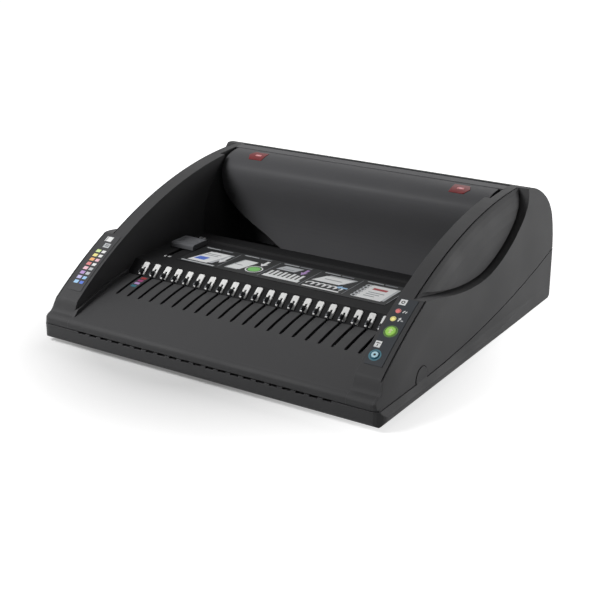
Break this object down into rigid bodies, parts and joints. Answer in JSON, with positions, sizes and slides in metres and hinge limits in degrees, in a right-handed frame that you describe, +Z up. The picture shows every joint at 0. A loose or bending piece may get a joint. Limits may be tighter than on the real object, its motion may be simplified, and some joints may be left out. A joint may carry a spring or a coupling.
{
  "type": "comb binding machine",
  "caption": "Electric comb binding machine: sloping bed with a row of sliding hooks and tines that open a plastic comb, and a motor punch behind a rounded hood.",
  "frame": {"origin": "middle of the footprint at the level of the table, under the feet", "axes": "+Z up, +Y towards the back of the machine, +X to the right of a person who stands at the front"},
  "size_m": [0.396, 0.395, 0.1435],
  "materials": {
    "charcoal_abs": "fine moulded texture",
    "satin_abs": "satin moulded",
    "black_abs": "matte moulded",
    "printed_film": "printed polyester film",
    "pale_acetal": "moulded",
    "grey_plastic": "satin moulded",
    "steel": "ground",
    "bronze": "sintered",
    "circuit_board": "solder resist",
    "blue_plastic": "moulded",
    "green_plastic": "moulded",
    "amber_lens": "clear moulded",
    "red_lens": "clear moulded",
    "red_plastic": "moulded",
    "rubber": "matte moulded"
  },
  "bodies": {
    "housing": {"base": "charcoal_abs", "bed": "charcoal_abs", "left_cheek": "charcoal_abs", "right_cheek": "charcoal_abs", "left_side_panel": "charcoal_abs", "right_side_panel": "charcoal_abs", "hood": "satin_abs", "rear_cover": "charcoal_abs", "instruction_panel": "black_abs", "instruction_label": "printed_film", "rear_rail": "black_abs", "trough_floor": "black_abs", "comb_tines": "pale_acetal", "guide_rods": "steel", "rod_supports": "grey_plastic", "synchro_brackets": "grey_plastic", "left_frame": "steel", "right_frame": "steel", "die_plate": "steel", "guide_plate": "steel", "depth_stop": "steel", "shaft_bushes": "bronze", "gear_motor": "steel", "chip_chute": "black_abs", "power_supply": "steel", "control_board": "circuit_board", "button_board": "circuit_board", "mains_inlet": "black_abs", "control_label": "printed_film", "comb_chart_label": "printed_film", "amber_lens": "amber_lens", "red_lens": "red_lens", "edge_markers": "red_plastic", "rubber_feet": "rubber", "housing_screws": "steel"},
    "opener": {"hook_carriage": "steel", "opener_knob": "grey_plastic"},
    "synchroniser": {"synchro_shaft": "steel", "synchro_pinions": "pale_acetal"},
    "eccentric": {"eccentric_shaft": "steel", "drive_gear": "pale_acetal"},
    "punch": {"punch_bar": "steel", "punch_pins": "steel"},
    "motor_output": {"motor_pinion": "bronze"},
    "power_key": {"power_button": "blue_plastic"},
    "punch_key": {"punch_button": "green_plastic"},
    "drawer": {"chip_drawer": "black_abs"}
  },
  "joints": [
    {"name": "comb_opener_slide", "type": "slide", "parent": "housing", "child": "opener", "axis": [0, -1, 0], "range_m": [0, 0.034]},
    {"name": "synchroniser_turn", "type": "hinge", "parent": "housing", "child": "synchroniser", "pos_m": [0, -0.1005, 0.019], "axis": [1, 0, 0], "range_deg": [0, 217]},
    {"name": "punch_slide", "type": "slide", "parent": "housing", "child": "punch", "axis": [0, -1, 0], "range_m": [0, 0.008]},
    {"name": "punch_drive", "type": "hinge", "parent": "housing", "child": "eccentric", "pos_m": [0, 0.1477, 0.098], "axis": [1, 0, 0], "range_deg": [0, 181]},
    {"name": "motor_output_turn", "type": "hinge", "parent": "housing", "child": "motor_output", "pos_m": [0.1566, 0.1477, 0.069], "axis": [1, 0, 0], "range_deg": [-402, 0]},
    {"name": "power_button_press", "type": "slide", "parent": "housing", "child": "power_key", "axis": [0, 0.5653, -0.8249], "range_m": [0, 0.001], "stiffness_N_per_m": 400},
    {"name": "punch_button_press", "type": "slide", "parent": "housing", "child": "punch_key", "axis": [0, 0.5184, -0.8551], "range_m": [0, 0.001], "stiffness_N_per_m": 400},
    {"name": "chip_drawer_slide", "type": "slide", "parent": "housing", "child": "drawer", "axis": [0, 1, 0], "range_m": [0, 0.085]}
  ],
  "couplings": [
    {"joint": "synchroniser_turn", "follows": "comb_opener_slide", "rad_per_m": 111.11},
    {"joint": "punch_drive", "follows": "punch_slide", "rad_per_m": 392.7},
    {"joint": "motor_output_turn", "follows": "punch_slide", "rad_per_m": -872.66}
  ]
}
